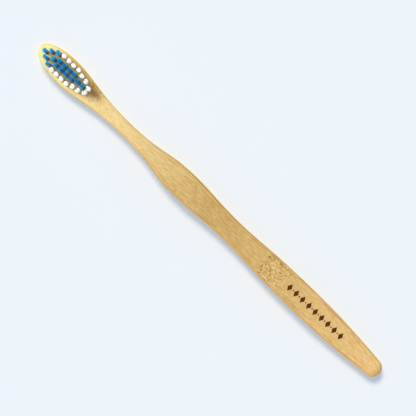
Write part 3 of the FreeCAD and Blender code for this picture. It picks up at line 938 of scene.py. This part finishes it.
corners = [(-TABLE_HALF, -TABLE_HALF), (TABLE_HALF, -TABLE_HALF), (TABLE_HALF, TABLE_HALF),
           (-TABLE_HALF, TABLE_HALF)]
mesh = bmesh.new()
mesh.faces.new([mesh.verts.new((x, y, -TABLE_DROP)) for x, y in corners])
table_mesh = bpy.data.meshes.new("table")
mesh.to_mesh(table_mesh)
mesh.free()
table = bpy.data.objects.new("table", table_mesh)
bpy.context.scene.collection.objects.link(table)
dress(table, sheet)
table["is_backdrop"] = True
print(f"a table {2 * TABLE_HALF:.0f} m wide")

# %% [markdown]
# ## The room
#
# The room is a pale soft box: its light is even, a little blue, and comes from all sides. What
# the lens and the reflections see of it is the table's white at full strength, so the horizon
# disappears, while what it sheds on the brush is far less.

# %% Light from all round
ROOM_LIGHT = linear("#E4EDF9")
ROOM_STRENGTH = 0.36

world = bpy.data.worlds.new("soft_room")
bpy.context.scene.world = world
world.use_nodes = True
tree = world.node_tree
tree.nodes.clear()
ray = add_node(tree, "ShaderNodeLightPath")
seen = add_node(tree, "ShaderNodeMath", {
    0: ray.outputs["Is Camera Ray"], 1: ray.outputs["Is Glossy Ray"]}, operation="MAXIMUM")
seen = add_node(tree, "ShaderNodeMath", {
    0: seen, 1: ray.outputs["Is Transmission Ray"]}, operation="MAXIMUM")
shed = add_node(tree, "ShaderNodeBackground", {"Color": ROOM_LIGHT, "Strength": ROOM_STRENGTH})
shown = add_node(tree, "ShaderNodeBackground", {"Color": TABLE_WHITE, "Strength": 1.0})
either = add_node(tree, "ShaderNodeMixShader", {0: seen, 1: shed, 2: shown})
add_node(tree, "ShaderNodeOutputWorld", {"Surface": either})
print(f"room light at {ROOM_STRENGTH}")

# %% [markdown]
# ## Five soft lamps
#
# In the picture the brush and the table are lit from different sides, so each has lamps of its
# own, and light linking says which lamp reaches what. The tufts throw their shadow back onto the
# neck, so the brush's main lamp stands beyond the head, with a weaker one overhead. A third
# lights only the white tufts, from the handle's side and past all that would shade them: real
# nylon carries light down and round to its dark side, which these filaments do too little.
#
# The narrow shadow on the table falls to the other side and past the handle's end, so the table
# is lit from across, and only the handle blocks that lamp. Another, straight above, keeps the
# rest of the table even and throws no shadow. All five are suns as wide as a big softbox close
# by. A sun's strength is written as the share of full light that it adds to a level surface: the
# room and the lamps of the brush, or those of the table, add up to about one, so colours come
# out as written.

# %% Hang the lamps


def soft_sun(name, compass, elevation, width, share, tint):
    """A sun that shines from a compass direction in the table, in degrees from +X towards +Y."""
    lamp = bpy.data.lights.new(name, "SUN")
    lamp.energy = share * math.pi / math.sin(math.radians(elevation))
    lamp.angle = math.radians(width)
    lamp.color = linear(tint)[:3]
    holder = bpy.data.objects.new(name, lamp)
    a, e = math.radians(compass), math.radians(elevation)
    source = Vector((math.cos(a) * math.cos(e), math.sin(a) * math.cos(e), math.sin(e)))
    holder.rotation_euler = source.to_track_quat("Z", "Y").to_euler()
    bpy.context.scene.collection.objects.link(holder)
    print(f"{name}: {share:.2f} of full light")
    return holder


def collect(name, objects):
    """A collection that only serves to say what a lamp reaches or what blocks it."""
    collection = bpy.data.collections.new(name)
    for piece in objects:
        collection.objects.link(piece)
    return collection


white_tufts = [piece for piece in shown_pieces() if piece.name.startswith("bristles_white")]
brush_lamp = soft_sun("lamp_beyond_the_head", 195, 62, 24, 0.54, "#FFFCF6")
overhead_lamp = soft_sun("lamp_overhead", 0, 90, 16, 0.20, "#FFFCF6")
nylon_lamp = soft_sun("lamp_through_the_white_nylon", 25, 35, 30, 0.31, "#FFFFFF")
table_lamp = soft_sun("lamp_for_the_table", 149, 52, 22, 0.46, "#FFEFD6")
table_fill = soft_sun("lamp_all_over_the_table", 0, 90, 16, 0.352, "#DDEBFF")
brush_only, table_only = collect("brush_only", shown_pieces()), collect("table_only", [table])
brush_lamp.light_linking.receiver_collection = brush_only
overhead_lamp.light_linking.receiver_collection = brush_only
nylon_lamp.light_linking.receiver_collection = collect("white_tufts", white_tufts)
nylon_lamp.light_linking.blocker_collection = table_only      # so nothing above the table blocks it
table_lamp.light_linking.receiver_collection = table_only
table_lamp.light_linking.blocker_collection = collect("handle_only", [handle])
table_fill.light_linking.receiver_collection = table_only
table_fill.light_linking.blocker_collection = table_only

# %% [markdown]
# ## The camera
#
# The picture was taken from straight above, over the middle of the brush, with the handle
# running from the upper left to the lower right. A long lens a good half metre up keeps the
# perspective as small as it is there: the tips of the tufts lie only a little further out than
# their roots. Light gets down between pale filaments only in many bounces, so twelve are allowed.

# %% Look straight down
CAMERA_X, CAMERA_Y, CAMERA_HEIGHT = -1.16 * MM, 0.06 * MM, 0.575
CAMERA_TURN = 44.04              # degrees about Z
PICTURE_WIDE = 0.1688            # metres of table across the picture
SENSOR = 36.0                    # mm
BOUNCES = 12

lens = bpy.data.cameras.new("camera")
lens.sensor_width = SENSOR
lens.lens = SENSOR * CAMERA_HEIGHT / PICTURE_WIDE
lens.clip_start, lens.clip_end = 0.01, 20.0       # metres
camera = bpy.data.objects.new("camera", lens)
camera.location = (CAMERA_X, CAMERA_Y, CAMERA_HEIGHT)
camera.rotation_euler = (0.0, 0.0, math.radians(CAMERA_TURN))
bpy.context.scene.collection.objects.link(camera)
bpy.context.scene.camera = camera
bpy.context.scene.view_settings.view_transform = "Standard"
bpy.context.scene.cycles.diffuse_bounces = BOUNCES
print(f"a {lens.lens:.1f} mm lens, {CAMERA_HEIGHT} m up")

# %% [markdown]
# ## The solids' size
#
# The box that the solids fill is written down, in millimetres.

# %% Write the solids' box
print("solids reach", [round(v / MM, 2) for v in cad_box[1]])
